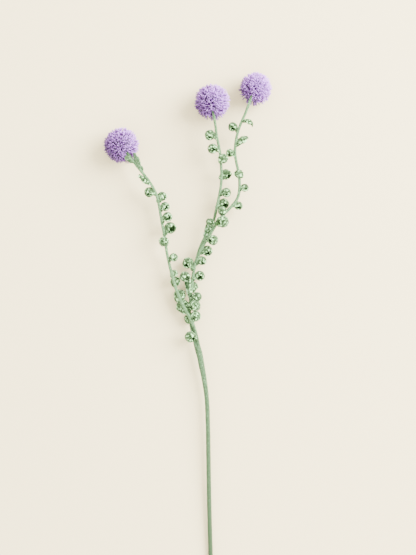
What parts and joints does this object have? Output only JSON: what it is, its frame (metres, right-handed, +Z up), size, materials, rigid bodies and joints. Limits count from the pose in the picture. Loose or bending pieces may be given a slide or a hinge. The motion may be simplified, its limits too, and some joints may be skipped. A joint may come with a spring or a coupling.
{
  "type": "globe flower stem",
  "caption": "Cut flowering stem with lavender globe heads on leafy, curled-leaf branches that stand in one thicker stem, lying flat.",
  "frame": {"origin": "middle of the underside of the whole spray, on the surface it lies on", "axes": "+Z up from the surface, +Y from the cut end of the stem towards the flower heads, +X to the right of the spray seen from above"},
  "size_m": [0.2168, 0.6742, 0.0463],
  "materials": {
    "stem": "matte",
    "foliage": "matte",
    "florets": "matte"
  },
  "bodies": {
    "root": {"main_stem": "stem", "left_leafy_branch": "foliage", "middle_leafy_branch": "foliage", "right_leafy_branch": "foliage", "left_flower_head": "florets", "middle_flower_head": "florets", "right_flower_head": "florets"}
  },
  "joints": []
}
